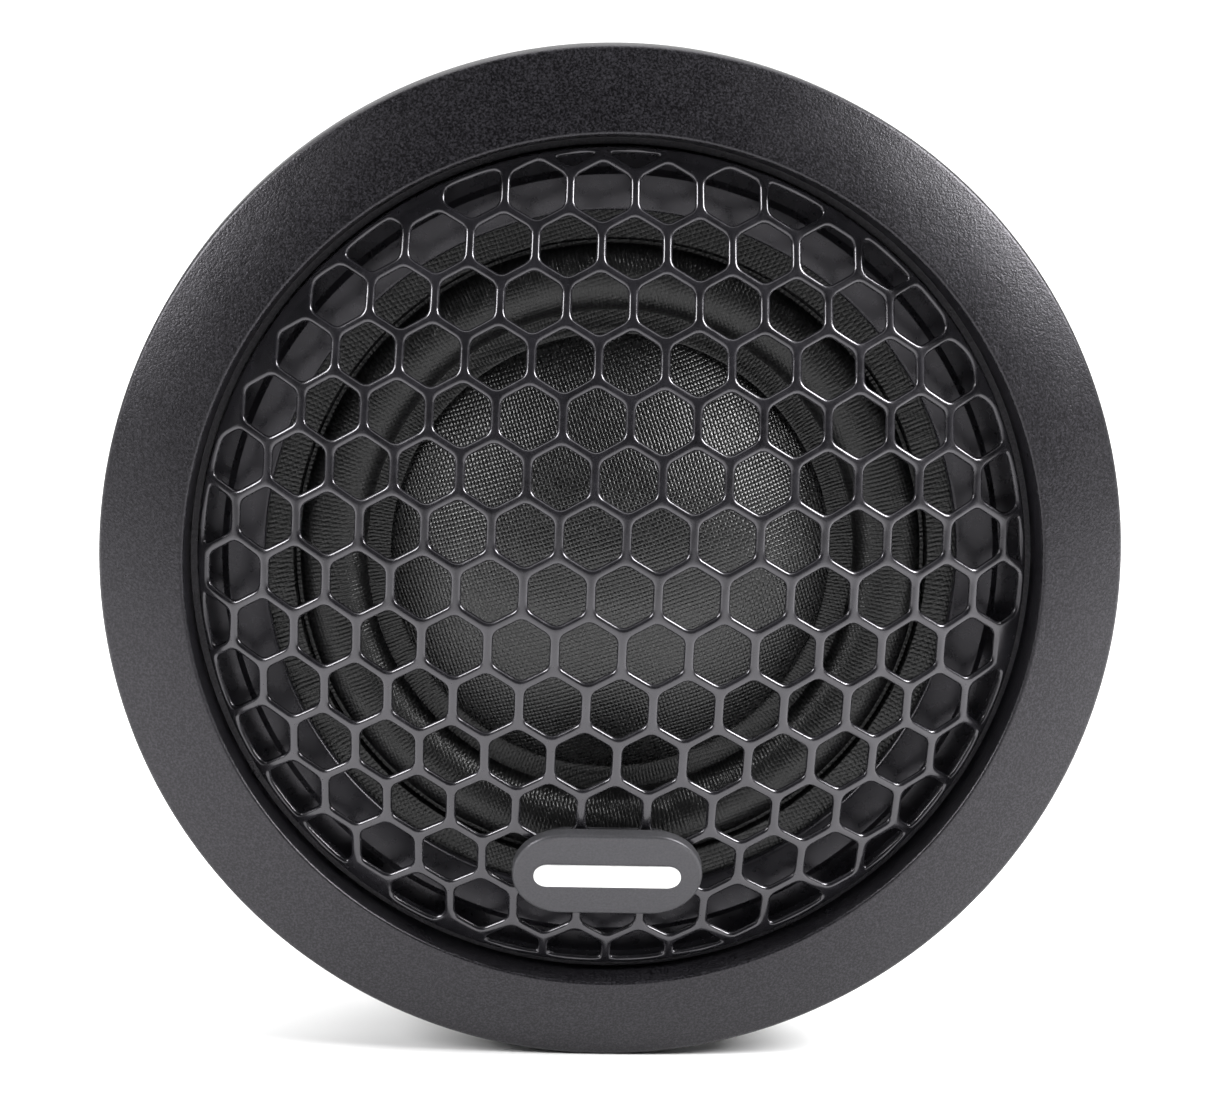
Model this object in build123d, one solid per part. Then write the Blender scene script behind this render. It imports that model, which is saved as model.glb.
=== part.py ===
from build123d import *
import os
from math import atan, cos, hypot, pi, radians, sin, sqrt

# Car tweeter: a silk dome driver in a panel-mounted housing, clamped by a ring nut from behind.
# Each piece is made with the tweeter's axis on local Z: +Z towards the listener, +Y up, and Z = 0
# at the rear face of the trim ring, where the panel seats. write() then lays the axis down, so the
# finished tweeter faces -Y with +Z up. All lengths are in millimetres.

os.makedirs("parts", exist_ok=True)

# Trim ring: a flat-backed ring with a sloping satin face and a chamfer down to the grille
flange_radius = 28.5
rim_height = 3.0
rim_rounding = 0.5
bezel_radius = 23.57
bezel_height = 5.05
bezel_rounding = 0.12
throat_radius = 22.8
throat_height = 4.14
lip_height = 1.92
counterbore_radius = 26.0
pocket_radius = 23.35

# Grille: steel sheet pierced with hexagons, then drawn into a dome
grille_edge_radius = 23.2
grille_edge_top = 1.9
grille_crown = 8.8
grille_sheet = 0.5
grille_power = 2.46
hole_pitch = 3.70
hole_across_flats = 3.20
pattern_shift = (0.39 * hole_pitch, -0.55 * hole_pitch)
pattern_twist = radians(-0.58)
draw_shrink = 0.061 / flange_radius**2
pierced_radius = 22.45
smallest_hole = 0.8

# Badge: a plain rounded bar let into the grille below the dome
badge_offset = 16.9
badge_length = 10.6
badge_width = 5.6
badge_thickness = 0.8
badge_rounding = 0.2
boss_length = 8.8
boss_width = 4.2
boss_depth = 0.9
boss_gap = 0.2
inlay_length = 8.2
inlay_width = 1.5
inlay_depth = 0.3
inlay_proud = 0.1

# Face plate: the glossy ring behind the grille, which clamps the edge of the diaphragm
face_inner_radius = 19.35
face_step_radius = 21.4
face_outer_radius = 23.3
face_base = 0.8
face_step_height = 1.4
face_height = 1.75
face_step_run = 0.12
face_rounding = 0.25

# Diaphragm: 25.4 mm silk dome on a coil former, hung in a half-roll surround
dome_radius = 12.7
dome_base = -0.3
dome_crown = 5.0
silk = 0.2
surround_sheet = 0.25
roll_inner_radius = 13.7
roll_outer_radius = 17.45
roll_crown = 1.65
groove_floor = 0.3
land_radius = 17.75
land_outer_radius = 20.7
support_inner_radius = 18.0
support_outer_radius = 20.85
support_base = -0.7
former_bore = 12.6
former_radius = 12.75
former_bottom = -5.4
coil_radius = 13.05
coil_top = -1.2
coil_bottom = -3.4

# Motor: ring magnet and pole plate in a steel cup, vented through the middle
vent_radius = 2.6
motor_top = -1.3
pole_radius = 12.28
gap_bottom = -3.3
cap_bore = 12.30
cap_radius = 12.42
cap_sheet = 0.1
magnet_radius = 11.8
magnet_bottom = -7.3
gap_outer_radius = 13.3
yoke_bore = 14.3
yoke_radius = 17.5
yoke_bottom = -10.3
yoke_chamfer = 0.4
felt_inner_radius = 3.0
felt_outer_radius = 9.0
felt_top = -0.1

# Chassis: the moulded body that passes through the panel
chassis_flange_radius = 25.9
spigot_radius = 23.0
spigot_length = 2.2
thread_radius = 22.7
thread_root_radius = 22.2
thread_start = -2.9
wall_bore = 21.0
wall_end = -13.6
end_chamfer = 0.6
web_bottom = -1.5
sleeve_radius = 18.6
sleeve_bore = 17.55
sleeve_bottom = -11.0
sleeve_lip_bore = 15.0
cup_radius = 20.9
boss_circle = 19.2
boss_radius = 1.6
boss_bottom = -14.0
boss_pilot_top = -10.5
cover_screw_angles = (90, 210, 330)
lead_hole_x = 19.8
lead_hole_radius = 0.45

# Small screws: four hold the trim ring to the chassis, three hold the rear cover
trim_screw_circle = 24.65
trim_screw_angles = (45, 135, 225, 315)
trim_shank_radius = 0.6
trim_head_radius = 1.15
trim_head_depth = 0.5
trim_screw_end = 2.4
cover_shank_radius = 0.58
cover_screw_clearance = 0.1
cover_head_radius = 1.3
cover_head_depth = 0.9
cover_head_rounding = 0.4
screw_gap = 0.02
recess_length = 1.3
recess_width = 0.28
recess_depth = 0.25

# Rear cover, with the damping chamber and the terminals
cover_radius = 21.6
cover_top = -14.0
cover_sheet = 1.2
chamber_radius = 16.0
chamber_bore = 14.6
chamber_floor = -15.6
chamber_chamfer = 0.5
wool_radius = 14.2
wool_top = -12.8
wool_bottom = -15.1
seal_bore = 21.05
board_length = 20.0
board_width = 9.0
board_thickness = 1.0
board_rounding = 1.2
terminal_x = 6.0
terminal_sheet = 0.8
foot_inner_x = 4.2
blade_outer_x = 9.2
blade_tip = -25.0
blade_chamfer = 0.3
positive_width = 4.8
negative_width = 2.8
rivet_bore = 0.35
rivet_radius = 0.95
rivet_flange_radius = 1.6
rivet_flange = 0.4
lead_radius = 0.15
lead_height = -0.5
lead_cross_height = -12.2
lead_bend = 0.8

# Mounting hardware: gasket in front of the panel, washer and ring nut behind it
gasket_inner_radius = 24.0
gasket_outer_radius = 27.8
gasket_thickness = 0.8
washer_bore = 23.15
washer_radius = 27.2
washer_top = -4.8
washer_thickness = 1.0
nut_gap = 0.05
nut_bore = 22.9
nut_flange_radius = 27.4
nut_flange_thickness = 1.6
nut_hub_radius = 25.4
nut_height = 4.95
nut_lugs = 12
lug_width = 2.4
lug_setback = 0.3
lug_relief = 0.8

chamber_back = chamber_floor - cover_sheet
board_back = chamber_back - board_thickness
foot_back = board_back - terminal_sheet
washer_bottom = washer_top - washer_thickness
nut_top = washer_bottom - nut_gap
nut_bottom = nut_top - nut_height


def cylinder(radius, low, high):
    """A solid cylinder on the axis, between two heights."""
    return Pos(0, 0, (low + high) / 2) * Cylinder(radius, high - low)


def ring(inner, outer, low, high):
    """A plain ring on the axis, between two heights."""
    return cylinder(outer, low, high) - cylinder(inner, low - 1, high + 1)


def turned(*points):
    """A solid of revolution from the (radius, height) corners of its section."""
    section = Plane.XZ * make_face(Polyline(*points, close=True))
    return revolve(section, Axis.Z)


def turned_outline(*edges):
    """A solid of revolution from the lines and curves that bound its section."""
    section = Plane.XZ * make_face(Curve() + list(edges))
    return revolve(section, Axis.Z)


def around(shape, radius, angles):
    """Copies of a shape at a radius, one at each angle."""
    return [Rot(0, 0, angle) * Pos(radius, 0, 0) * shape for angle in angles]


def edges_at(solid, radius, height):
    """The circular edges of a solid that have this radius and this height."""
    return [
        edge
        for edge in solid.edges().filter_by(GeomType.CIRCLE)
        if abs(edge.radius - radius) < 0.01 and abs(edge.arc_center.Z - height) < 0.01
    ]


def dome_height(radius):
    """Height of the grille's outer surface at a radius."""
    drop = grille_crown - grille_edge_top
    return grille_crown - drop * (radius / throat_radius) ** grille_power


def dome_slope(radius):
    """Downward slope of the grille's outer surface at a radius, as an angle."""
    drop = grille_crown - grille_edge_top
    steepness = drop * grille_power / throat_radius
    return atan(steepness * (radius / throat_radius) ** (grille_power - 1))


def drawn(x, y):
    """Where a point of the flat pierced sheet comes to lie, in plan, once the dome is drawn."""
    scale = 1 - draw_shrink * (x * x + y * y)
    turned_x = x * cos(pattern_twist) - y * sin(pattern_twist)
    turned_y = x * sin(pattern_twist) + y * cos(pattern_twist)
    return (turned_x * scale, turned_y * scale)


def hexagon(x, y):
    """The drawn outline of the hexagonal hole whose flat-sheet centre is (x, y)."""
    reach = hole_across_flats / sqrt(3)
    corners = []
    for step in range(6):
        angle = pi / 6 + step * pi / 3
        corners.append(drawn(x + reach * cos(angle), y + reach * sin(angle)))
    return corners


def hexagon_centres():
    """Flat-sheet centres of every hole whose row crosses the pierced circle."""
    rows = int(flange_radius / (hole_pitch * sqrt(3) / 2)) + 1
    columns = int(flange_radius / hole_pitch) + 1
    for row in range(-rows, rows + 1):
        for column in range(-columns, columns + 1):
            stagger = 0.5 * (row % 2)
            x = (column + stagger) * hole_pitch - pattern_shift[0]
            y = row * hole_pitch * sqrt(3) / 2 - pattern_shift[1]
            yield x, y


def badge_plane():
    """The plane that touches the grille where the badge sits."""
    slope = dome_slope(badge_offset)
    origin = (0, -badge_offset, dome_height(badge_offset))
    return Plane(origin=origin, x_dir=(1, 0, 0), z_dir=(0, -sin(slope), cos(slope)))


def trim_ring():
    body = turned(
        (throat_radius, lip_height),
        (throat_radius, throat_height),
        (bezel_radius, bezel_height),
        (flange_radius, rim_height),
        (flange_radius, 0),
        (counterbore_radius, 0),
        (counterbore_radius, face_base),
        (pocket_radius, face_base),
        (pocket_radius, lip_height),
    )
    body = fillet(edges_at(body, flange_radius, rim_height), rim_rounding)
    body = fillet(edges_at(body, bezel_radius, bezel_height), bezel_rounding)
    pilot = cylinder(trim_shank_radius + screw_gap, 0, trim_screw_end + 0.2)
    return body - around(pilot, trim_screw_circle, trim_screw_angles)


def grille_mesh():
    stations = [throat_radius * step / 6 for step in range(7)]
    top = Spline([(radius, dome_height(radius)) for radius in stations])
    under = Spline([(radius, dome_height(radius) - grille_sheet) for radius in stations])
    edge_bottom = grille_edge_top - grille_sheet
    shell = turned_outline(
        top,
        Polyline(
            (throat_radius, grille_edge_top),
            (grille_edge_radius, grille_edge_top),
            (grille_edge_radius, edge_bottom),
            (throat_radius, edge_bottom),
        ),
        under,
        Line((0, grille_crown - grille_sheet), (0, grille_crown)),
    )
    border = Circle(pierced_radius)
    holes = []
    for x, y in hexagon_centres():
        corners = hexagon(x, y)
        reaches = [hypot(corner[0], corner[1]) for corner in corners]
        if min(reaches) > pierced_radius - smallest_hole:
            continue
        hole = make_face(Polyline(*corners, close=True))
        if max(reaches) > pierced_radius:
            hole = hole & border
        holes.append(extrude(hole, grille_crown + 1))
    opening = badge_plane() * SlotOverall(boss_length + 2 * boss_gap, boss_width + 2 * boss_gap)
    holes.append(extrude(opening, 1.5, both=True))
    return shell - holes


def badge_plate():
    face = badge_plane()
    plate = extrude(face * SlotOverall(badge_length, badge_width), badge_thickness)
    top_edges = plate.faces().sort_by(Axis.Z)[-1].edges()
    plate = fillet(top_edges, badge_rounding)
    boss = extrude(face * SlotOverall(boss_length, boss_width), -boss_depth)
    pocket = extrude(face.offset(badge_thickness) * SlotOverall(inlay_length, inlay_width), -inlay_depth)
    return plate + boss - pocket


def badge_inlay():
    floor = badge_plane().offset(badge_thickness - inlay_depth)
    return extrude(floor * SlotOverall(inlay_length, inlay_width), inlay_depth + inlay_proud)


def face_plate():
    body = turned(
        (face_inner_radius, face_base),
        (face_inner_radius, face_height),
        (face_step_radius, face_height),
        (face_step_radius + face_step_run, face_step_height),
        (face_outer_radius, face_step_height),
        (face_outer_radius, face_base),
    )
    return fillet(edges_at(body, face_inner_radius, face_height), face_rounding)


def cap(radius, base, crown):
    """The solid piece of a sphere that stands on a disc of this radius."""
    rise = crown - base
    sphere = (radius**2 + rise**2) / (2 * rise)
    return Pos(0, 0, crown - sphere) * Sphere(sphere) & cylinder(radius, base, crown + 1)


def silk_dome():
    hollow = cap(dome_radius - 1.3 * silk, dome_base, dome_crown - silk)
    return cap(dome_radius, dome_base, dome_crown) - hollow


def surround():
    land_top = face_base
    land_bottom = face_base - surround_sheet - 0.05
    hinge_top = dome_base + surround_sheet
    middle = (roll_inner_radius + roll_outer_radius) / 2
    groove_bottom = groove_floor - surround_sheet
    return turned_outline(
        Line((former_radius, hinge_top), (roll_inner_radius, hinge_top)),
        ThreePointArc(
            (roll_inner_radius, hinge_top),
            (middle, roll_crown),
            (roll_outer_radius, groove_floor),
        ),
        Polyline(
            (roll_outer_radius, groove_floor),
            (land_radius - 0.1, groove_floor),
            (land_radius, land_top),
            (land_outer_radius, land_top),
            (land_outer_radius, land_bottom),
            (land_radius + 0.2, land_bottom),
            (land_radius + 0.1, groove_bottom),
            (roll_outer_radius - 0.2, groove_bottom),
        ),
        ThreePointArc(
            (roll_outer_radius - 0.2, groove_bottom),
            (middle, roll_crown - surround_sheet),
            (roll_inner_radius + 0.2, dome_base),
        ),
        Polyline(
            (roll_inner_radius + 0.2, dome_base),
            (former_radius, dome_base),
            (former_radius, hinge_top),
        ),
    )


def diaphragm_ring():
    top = face_base - surround_sheet - 0.05
    body = ring(support_inner_radius, support_outer_radius, support_base, top)
    notch = Box(2 * support_outer_radius + 2, 1.0, 1.0)
    return body - Pos(0, 0, support_base + 0.05) * notch


def copper_cap():
    skirt = ring(cap_bore, cap_radius, gap_bottom - cap_sheet, motor_top)
    return skirt + ring(vent_radius, cap_radius, motor_top, motor_top + cap_sheet)


def yoke_cup():
    return turned(
        (vent_radius, yoke_bottom),
        (yoke_radius - yoke_chamfer, yoke_bottom),
        (yoke_radius, yoke_bottom + yoke_chamfer),
        (yoke_radius, motor_top),
        (gap_outer_radius, motor_top),
        (gap_outer_radius, gap_bottom),
        (yoke_bore, gap_bottom - 0.7),
        (yoke_bore, magnet_bottom),
        (vent_radius, magnet_bottom),
    )


def chassis():
    body = turned(
        (cup_radius, face_base),
        (chassis_flange_radius, face_base),
        (chassis_flange_radius, 0),
        (spigot_radius, 0),
        (spigot_radius, -spigot_length),
        (thread_root_radius, -spigot_length),
        (thread_root_radius, thread_start),
        (thread_radius, thread_start),
        (thread_radius, wall_end + end_chamfer),
        (thread_root_radius, wall_end),
        (wall_bore, wall_end),
        (wall_bore, web_bottom),
        (sleeve_radius, web_bottom),
        (sleeve_radius, sleeve_bottom),
        (sleeve_lip_bore, sleeve_bottom),
        (sleeve_lip_bore, yoke_bottom),
        (sleeve_bore, yoke_bottom),
        (sleeve_bore, support_base),
        (cup_radius, support_base),
    )
    body += around(cylinder(boss_radius, boss_bottom, web_bottom), boss_circle, cover_screw_angles)
    pilot = cylinder(cover_shank_radius + screw_gap, boss_bottom - 1, boss_pilot_top)
    body -= around(pilot, boss_circle, cover_screw_angles)
    clear = cylinder(trim_shank_radius + screw_gap, -1, face_base + 1)
    sink_radius = trim_head_radius + screw_gap
    sink = Pos(0, 0, trim_head_depth / 2) * Cone(sink_radius, trim_shank_radius + screw_gap, trim_head_depth)
    body -= around(clear + sink, trim_screw_circle, trim_screw_angles)
    lead_hole = cylinder(lead_hole_radius, web_bottom - 1, support_base + 1)
    return body - around(lead_hole, lead_hole_x, (0, 180))


def cross_recess():
    """The cross-shaped socket of a small screw, its mouth at height 0 and its floor above."""
    slot = Pos(0, 0, recess_depth / 2) * Box(recess_length, recess_width, recess_depth)
    return slot + Rot(0, 0, 90) * slot


def trim_screws():
    head = Pos(0, 0, trim_head_depth / 2) * Cone(trim_head_radius, trim_shank_radius, trim_head_depth)
    screw = head + cylinder(trim_shank_radius, trim_head_depth, trim_screw_end) - cross_recess()
    return around(screw, trim_screw_circle, trim_screw_angles)


def cover_screws():
    seat = cover_top - cover_sheet
    head = cylinder(cover_head_radius, seat - cover_head_depth, seat)
    head = fillet(edges_at(head, cover_head_radius, seat - cover_head_depth), cover_head_rounding)
    screw = head + cylinder(cover_shank_radius, seat, boss_pilot_top - 0.3)
    screw -= Pos(0, 0, seat - cover_head_depth) * cross_recess()
    return around(screw, boss_circle, cover_screw_angles)


def rear_cover():
    seat = cover_top - cover_sheet
    body = turned(
        (0, chamber_floor),
        (chamber_bore, chamber_floor),
        (chamber_bore, cover_top),
        (cover_radius, cover_top),
        (cover_radius, seat),
        (chamber_radius, seat),
        (chamber_radius, chamber_back + chamber_chamfer),
        (chamber_radius - chamber_chamfer, chamber_back),
        (0, chamber_back),
    )
    clear = cylinder(cover_shank_radius + cover_screw_clearance, seat - 1, cover_top + 1)
    body -= around(clear, boss_circle, cover_screw_angles)
    eyelet = cylinder(rivet_radius + screw_gap, chamber_back - 1, chamber_floor + 1)
    return body - around(eyelet, terminal_x, (0, 180))


def terminal_board():
    middle = (chamber_back + board_back) / 2
    board = Pos(0, 0, middle) * Box(board_length, board_width, board_thickness)
    board = fillet(board.edges().filter_by(Axis.Z), board_rounding)
    eyelet = cylinder(rivet_radius + screw_gap, board_back - 1, chamber_back + 1)
    return board - around(eyelet, terminal_x, (0, 180))


def blade_terminal(width, side):
    """An L-shaped tab: its foot is riveted to the board and its blade points backwards."""
    foot_length = blade_outer_x - foot_inner_x
    foot = Pos((foot_inner_x + blade_outer_x) / 2, 0, (board_back + foot_back) / 2)
    foot = foot * Box(foot_length, width, terminal_sheet)
    blade = Pos(blade_outer_x - terminal_sheet / 2, 0, (board_back + blade_tip) / 2)
    blade = blade * Box(terminal_sheet, width, board_back - blade_tip)
    blade = chamfer(blade.faces().sort_by(Axis.Z)[0].edges(), blade_chamfer)
    eyelet = Pos(terminal_x, 0, 0) * cylinder(rivet_radius + screw_gap, foot_back - 1, board_back + 1)
    return Rot(0, 0, 0 if side > 0 else 180) * (foot + blade - eyelet)


def terminal_rivets():
    top = chamber_floor + rivet_flange
    bottom = foot_back - rivet_flange
    rivet = cylinder(rivet_radius, bottom, top)
    rivet += cylinder(rivet_flange_radius, bottom, foot_back)
    rivet += cylinder(rivet_flange_radius, chamber_floor, top)
    return around(rivet - cylinder(rivet_bore, bottom - 1, top + 1), terminal_x, (0, 180))


def lead_wire(side):
    """A thin lead from the voice coil, round the outside of the motor, into its eyelet."""
    route = FilletPolyline(
        (side * (former_radius + 0.1), 0, lead_height),
        (side * lead_hole_x, 0, lead_height),
        (side * lead_hole_x, 0, lead_cross_height),
        (side * terminal_x, 0, lead_cross_height),
        (side * terminal_x, 0, foot_back),
        radius=lead_bend,
    )
    start = Plane(origin=route @ 0, z_dir=route % 0)
    return sweep(start * Circle(lead_radius), path=route)


def chamber_wool():
    pad = cylinder(wool_radius, wool_bottom, wool_top)
    passage = cylinder(2 * lead_radius, wool_bottom - 1, wool_top + 1)
    return pad - around(passage, terminal_x, (0, 180))


def ring_nut():
    flange = cylinder(nut_flange_radius, nut_top - nut_flange_thickness, nut_top)
    hub = cylinder(nut_hub_radius, nut_bottom, nut_top)
    lug_height = nut_height - lug_relief
    lug_length = nut_flange_radius - nut_hub_radius
    lug = Box(lug_length, lug_width, lug_height)
    lug = Pos(-lug_length / 2 - lug_setback, 0, nut_top - lug_height / 2) * lug
    angles = [360 / nut_lugs * step for step in range(nut_lugs)]
    body = flange + hub + around(lug, nut_flange_radius, angles)
    return body - cylinder(nut_bore, nut_bottom - 1, nut_top + 1)


def write(name, shape):
    """Lay the axis down, so the face looks along -Y, and write one sub-part."""
    pieces = shape if isinstance(shape, list) else [shape]
    placed = [Rot(90, 0, 0) * piece for piece in pieces]
    solids = [solid for piece in placed for solid in piece.solids()]
    result = solids[0] if len(solids) == 1 else Compound(children=solids)
    export_step(result, f"parts/{name}.step")


write("trim_ring", trim_ring())
write("grille_mesh", grille_mesh())
write("badge_plate", badge_plate())
write("badge_inlay", badge_inlay())
write("face_plate", face_plate())
write("silk_dome", silk_dome())
write("surround", surround())
write("diaphragm_ring", diaphragm_ring())
write("coil_former", ring(former_bore, former_radius, former_bottom, dome_base))
write("voice_coil", ring(former_radius, coil_radius, coil_bottom, coil_top))
write("dome_felt", ring(felt_inner_radius, felt_outer_radius, motor_top + cap_sheet, felt_top))
write("copper_cap", copper_cap())
write("pole_plate", ring(vent_radius, pole_radius, gap_bottom, motor_top))
write("magnet", ring(vent_radius, magnet_radius, magnet_bottom, gap_bottom))
write("yoke_cup", yoke_cup())
write("chassis", chassis())
write("trim_screws", trim_screws())
write("panel_gasket", ring(gasket_inner_radius, gasket_outer_radius, -gasket_thickness, 0))
write("rear_cover", rear_cover())
write("cover_seal", ring(seal_bore, cover_radius, cover_top, wall_end))
write("cover_screws", cover_screws())
write("chamber_wool", chamber_wool())
write("terminal_board", terminal_board())
write("terminal_positive", blade_terminal(positive_width, 1))
write("terminal_negative", blade_terminal(negative_width, -1))
write("terminal_rivets", terminal_rivets())
write("lead_wire_positive", lead_wire(1))
write("lead_wire_negative", lead_wire(-1))
write("pressure_washer", ring(washer_bore, washer_radius, washer_bottom, washer_top))
write("ring_nut", ring_nut())
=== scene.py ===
import bpy
import math
import numpy as np
from mathutils import Matrix, Vector


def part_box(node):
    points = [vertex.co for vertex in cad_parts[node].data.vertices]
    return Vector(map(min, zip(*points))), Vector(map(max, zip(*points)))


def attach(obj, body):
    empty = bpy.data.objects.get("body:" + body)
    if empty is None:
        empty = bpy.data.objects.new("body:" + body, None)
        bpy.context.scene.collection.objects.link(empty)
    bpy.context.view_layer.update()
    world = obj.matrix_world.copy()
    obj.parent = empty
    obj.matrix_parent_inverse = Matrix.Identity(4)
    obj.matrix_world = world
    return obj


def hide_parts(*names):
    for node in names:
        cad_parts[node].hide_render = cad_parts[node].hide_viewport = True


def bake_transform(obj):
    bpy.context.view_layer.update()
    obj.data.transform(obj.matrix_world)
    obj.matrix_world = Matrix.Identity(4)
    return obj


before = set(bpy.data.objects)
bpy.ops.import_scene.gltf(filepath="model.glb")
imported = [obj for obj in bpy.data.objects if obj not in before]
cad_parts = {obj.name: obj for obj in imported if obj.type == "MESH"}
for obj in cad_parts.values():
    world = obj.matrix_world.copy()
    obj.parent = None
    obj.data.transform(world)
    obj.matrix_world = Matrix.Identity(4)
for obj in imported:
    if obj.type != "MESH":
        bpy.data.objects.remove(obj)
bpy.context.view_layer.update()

# Lengths are in millimetres, in the tweeter's own axes: x to the right, y up and z forwards, out of
# the panel. Z = 0 is the plane where the panel seats. place() turns them into the frame's metres.
MM = 0.001


def reach(node):
    """The largest radius of a node about the tweeter's axis."""
    low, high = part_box(node)
    return high[0] / MM


def front(node):
    """The foremost height of a node."""
    low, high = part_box(node)
    return -low[1] / MM


def rear(node):
    """The rearmost height of a node."""
    low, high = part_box(node)
    return -high[1] / MM


# Trim ring
flange_radius = reach("trim_ring")
bezel_height = front("trim_ring")
rim_height = bezel_height - 2.05
bezel_radius = 23.75
wall_foot_radius = 23.45
wall_foot_height = 2.3
throat_radius = 23.08
bezel_rounding = 0.18
rim_rounding = 0.35
counterbore_radius = reach("chassis") + 0.1

# Grille
grille_crown = front("grille_mesh")
grille_seat = rear("grille_mesh")
grille_edge_top = grille_seat + 2.0
grille_sheet = 0.34
grille_power = 1.8
edge_roll = 0.09
grille_radius = 22.8
hole_pitch = 3.70
hole_apothem = 1.565
hole_corner = 0.26
smallest_hole = 0.22
web_rounding = 0.22
web_under_rounding = 0.1
pattern_shift = (0.39 * hole_pitch, -0.575 * hole_pitch)
pattern_twist = math.radians(-0.58)
draw_shrink = 0.061 / flange_radius**2
border_inner = 22.72
border_outer = 22.92
side_steps = 8

# Badge and its opening in the grille
badge_offset = 16.9
opening_length = 9.2
opening_width = 4.6
opening_reach = 2.0

# Face plate, dome and surround
face_radius = reach("face_plate")
face_height = front("face_plate")
face_base = rear("face_plate")
face_inner_radius = 19.35
face_step_radius = 21.4
face_step_drop = 0.35
face_inner_drop = 0.3
dome_radius = reach("silk_dome")
dome_base = rear("silk_dome")
dome_crown = front("silk_dome")
silk = 0.2
silk_pitch = (0.2, 0.235)
silk_twist = math.radians(19)
roll_inner_radius = 13.7
roll_outer_radius = 17.45
roll_crown = front("surround")
roll_ribs = 420
roll_sheet = 0.25
groove_floor = 0.3
land_radius = 17.75
land_outer_radius = reach("surround")

# Chassis and mounting hardware
thread_crest = 22.68
thread_root = 22.2
thread_pitch = 2.0
thread_start = -2.9
spigot_radius = 23.0
spigot_length = 2.2
wall_end = front("cover_seal")
wall_bore = 21.0
deck_underside = -1.5
seat_radius = 20.9
seat_floor = -0.7
cup_wall_bore = 17.55
cup_wall_radius = 18.6
cup_wall_end = -11.0
gasket_bore = 24.0
washer_bore = 23.15
nut_bore = 22.9
nut_chamfer = 0.35
nut_flange_depth = 1.6
nut_radius = reach("ring_nut")
nut_hub_radius = 25.4
nut_front = front("ring_nut")
nut_back = rear("ring_nut")
nut_lugs = 12
lug_half_angle = math.radians(2.6)
lug_flank = math.radians(0.9)
lug_setback = 0.25
lug_end = nut_back + 0.8
cover_radius = reach("rear_cover")
cover_bore = 14.6
chamber_radius = 16.0
cover_sheet = 1.2
cover_groove = (12.0, 13.2)
cover_groove_depth = 0.25

# The black finishes reflect with a faint violet cast
violet = (0.96, 0.93, 1.0)

# Studio: how bright it is in front, behind, overhead and low down at the sides
front_level = 0.03
back_level = 0.8
zenith_level = 2.9
side_level = 0.65

# Floor: half its width, and where the shade painted into its paper starts and is deepest, in the frame's
# metres
floor_half = 4.0
floor_painted_shade_from = -0.04
floor_painted_shade_deepest_at = -0.17
floor_painted_shade_tone = 0.4
floor_tone = 0.92

# Softboxes: for each, its direction in the tweeter's axes, width and height in metres, and radiance
softbox_distance = 0.5
softboxes = {
    "softbox_right": ((0.78, 0.58, 0.26), 0.17, 0.22, 42.0),
    "softbox_left": ((-0.84, 0.46, 0.28), 0.15, 0.2, 27.0),
}

# Camera: its angles from the tweeter's axis, its distance and aim, and its lens
camera_side = math.radians(-2.8)
camera_above = math.radians(9.6)
camera_roll = math.radians(-1.6)
camera_distance = 7.71 * flange_radius
aim_shift = (0.012 * flange_radius, -0.027 * flange_radius)
lens = 117.1


# ---------------------------------------------------------------- mesh helpers


def place(points):
    """Points in the tweeter's axes, in millimetres, as points of the frame, in metres."""
    points = np.asarray(points, float)
    return np.stack([points[:, 0], -points[:, 2], points[:, 1]], axis=1) * MM


def add_piece(name, points, faces, material, body, slot, stands_for=()):
    """A mesh piece that stands for CAD nodes and rides on a body, or on none."""
    mesh = bpy.data.meshes.new(name)
    mesh.from_pydata([tuple(p) for p in place(points)], [], faces)
    mesh.validate()
    mesh.update()
    piece = bpy.data.objects.new(name, mesh)
    bpy.context.scene.collection.objects.link(piece)
    mesh.materials.append(material)
    shade(piece)
    if body:
        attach(piece, body)
    if stands_for:
        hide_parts(*stands_for)
    return piece


def shade(piece, angle=38):
    """Smooth shading, with edges sharper than the angle left crisp."""
    mesh = piece.data
    mesh.shade_smooth()
    mesh.set_sharp_from_angle(angle=math.radians(angle))


def rounded(corners):
    """A closed outline of (radius, height, rounding) corners, each rounding made an arc of points."""
    outline = []
    count = len(corners)
    for index, (radius, height, rounding) in enumerate(corners):
        here = np.array([radius, height])
        if rounding == 0:
            outline.append(here)
            continue
        before = np.array(corners[index - 1][:2]) - here
        after = np.array(corners[(index + 1) % count][:2]) - here
        before = before / np.linalg.norm(before)
        after = after / np.linalg.norm(after)
        half = math.acos(float(np.clip(before @ after, -1, 1))) / 2
        back = rounding / math.tan(half)
        centre = here + (before + after) / np.linalg.norm(before + after) * rounding / math.sin(half)
        start = here + before * back - centre
        end = here + after * back - centre
        turn = math.pi - 2 * half
        steps = max(2, int(turn / math.radians(15)))
        for step in range(steps + 1):
            share = step / steps
            blend = (math.sin((1 - share) * turn) * start + math.sin(share * turn) * end) / math.sin(turn)
            outline.append(centre + blend)
    return outline


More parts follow.
